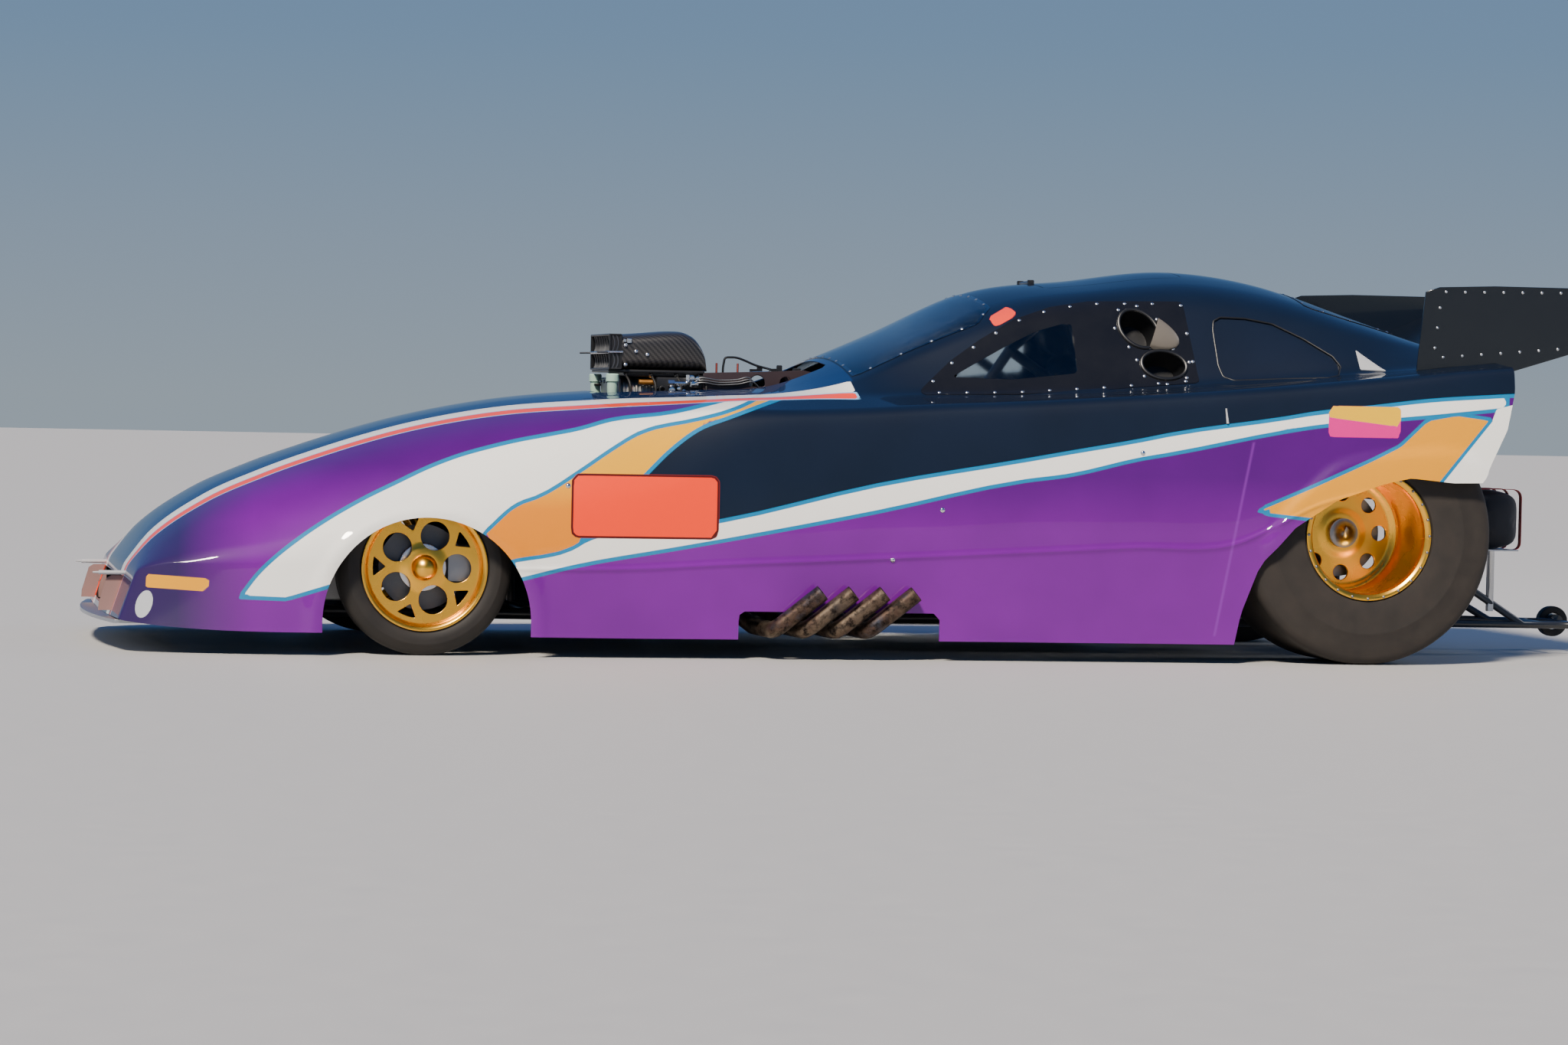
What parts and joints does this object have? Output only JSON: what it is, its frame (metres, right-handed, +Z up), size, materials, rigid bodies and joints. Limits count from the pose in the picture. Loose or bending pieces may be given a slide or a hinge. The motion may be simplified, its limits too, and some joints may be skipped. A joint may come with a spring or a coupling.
{
  "type": "drag racing car",
  "caption": "Low drag racing car with a lift-up one-piece body over a tube frame, a supercharged engine through the hood, fat rear slicks and a wheelie bar.",
  "frame": {"origin": "on the ground under the middle of the car's overall length", "axes": "+X runs from nose to tail, +Y to the car's right side, +Z up"},
  "size_m": [5.3699, 1.9748, 1.3299],
  "materials": {
    "body_paint": "gloss clear coat over purple and white",
    "dark_panel": "gloss dark clear coat",
    "clear_plastic": "clear polycarbonate",
    "dark_plastic": "dark tinted polycarbonate",
    "black_metal": "satin black",
    "frame_steel": "black paint over chromoly tube",
    "sheet": "brushed sheet",
    "machined": "machined",
    "cast": "cast",
    "polished": "polished",
    "carbon": "gloss carbon weave",
    "tarnished_pipe": "heat tarnished steel",
    "gold_rim": "gold anodised",
    "tyre": "dull black",
    "belt": "toothed belt",
    "steel": "machined steel",
    "fabric": "woven nylon",
    "seat": "padded cloth"
  },
  "bodies": {
    "chassis": {"blower": "polished", "cockpit_tub": "sheet", "cylinder_heads": "machined", "drive_belt": "belt", "drive_pulleys": "machined", "driveline": "cast", "driver_seat": "seat", "engine_block": "cast", "frame_rails": "frame_steel", "front_axle": "frame_steel", "fuel_tank": "sheet", "headers_left": "tarnished_pipe", "headers_right": "tarnished_pipe", "injector_hat": "carbon", "intake_manifold": "cast", "parachute_packs": "fabric", "parachute_tray": "sheet", "rear_axle_housing": "cast", "roll_cage": "frame_steel", "steering_column": "black_metal", "valve_covers": "polished", "wheelie_bar": "frame_steel"},
    "body_shell": {"front_clip": "body_paint", "hood_and_fenders": "body_paint", "cabin_shell": "body_paint", "rear_quarters": "body_paint", "windshield": "clear_plastic", "side_window_left": "dark_plastic", "side_window_right": "dark_plastic", "quarter_windows": "dark_plastic", "rear_window": "dark_plastic", "rear_spoiler": "black_metal", "spill_plates": "dark_panel", "front_splitter": "sheet", "body_hinge_arms": "machined"},
    "roof_hatch": {"roof_hatch": "dark_panel"},
    "knuckle_left": {"knuckle_left": "steel"},
    "knuckle_right": {"knuckle_right": "steel"},
    "steering_rack": {"tie_rods": "steel"},
    "front_wheel_left": {"front_rim_left": "gold_rim", "front_tire_left": "tyre", "front_hub_left": "machined"},
    "front_wheel_right": {"front_rim_right": "gold_rim", "front_tire_right": "tyre", "front_hub_right": "machined"},
    "rear_wheels": {"rear_rim_left": "gold_rim", "rear_rim_right": "gold_rim", "rear_tire_left": "tyre", "rear_tire_right": "tyre", "axle_shaft": "steel"},
    "wheelie_wheels": {"wheelie_wheels": "machined"}
  },
  "joints": [
    {"name": "body_tilt", "type": "hinge", "parent": "chassis", "child": "body_shell", "pos_m": [1.965, 0, 0.72], "axis": [0, 1, 0], "range_deg": [0, 30]},
    {"name": "roof_hatch_hinge", "type": "hinge", "parent": "body_shell", "child": "roof_hatch", "pos_m": [0.574, 0, 1.27896], "axis": [0, -1, 0], "range_deg": [0, 80]},
    {"name": "steering_left", "type": "hinge", "parent": "chassis", "child": "knuckle_left", "pos_m": [-1.635, -0.667, 0.285], "axis": [0, 0, 1], "range_deg": [-10, 10]},
    {"name": "steering_right", "type": "hinge", "parent": "chassis", "child": "knuckle_right", "pos_m": [-1.635, 0.667, 0.285], "axis": [0, 0, 1], "range_deg": [-10, 10]},
    {"name": "rack_slide", "type": "slide", "parent": "chassis", "child": "steering_rack", "axis": [0, 1, 0], "range_m": [-0.0202, 0.0202]},
    {"name": "front_wheel_spin_left", "type": "hinge", "parent": "knuckle_left", "child": "front_wheel_left", "pos_m": [-1.635, -0.772, 0.285], "axis": [0, 1, 0], "continuous": true},
    {"name": "front_wheel_spin_right", "type": "hinge", "parent": "knuckle_right", "child": "front_wheel_right", "pos_m": [-1.635, 0.772, 0.285], "axis": [0, 1, 0], "continuous": true},
    {"name": "rear_wheel_spin", "type": "hinge", "parent": "chassis", "child": "rear_wheels", "pos_m": [1.54, 0, 0.437], "axis": [0, 1, 0], "continuous": true},
    {"name": "wheelie_wheel_spin", "type": "hinge", "parent": "chassis", "child": "wheelie_wheels", "pos_m": [2.63, 0, 0.105], "axis": [0, 1, 0], "continuous": true}
  ],
  "couplings": [
    {"joint": "steering_right", "follows": "steering_left", "ratio": 1},
    {"joint": "rack_slide", "follows": "steering_left", "m_per_rad": 0.115}
  ]
}
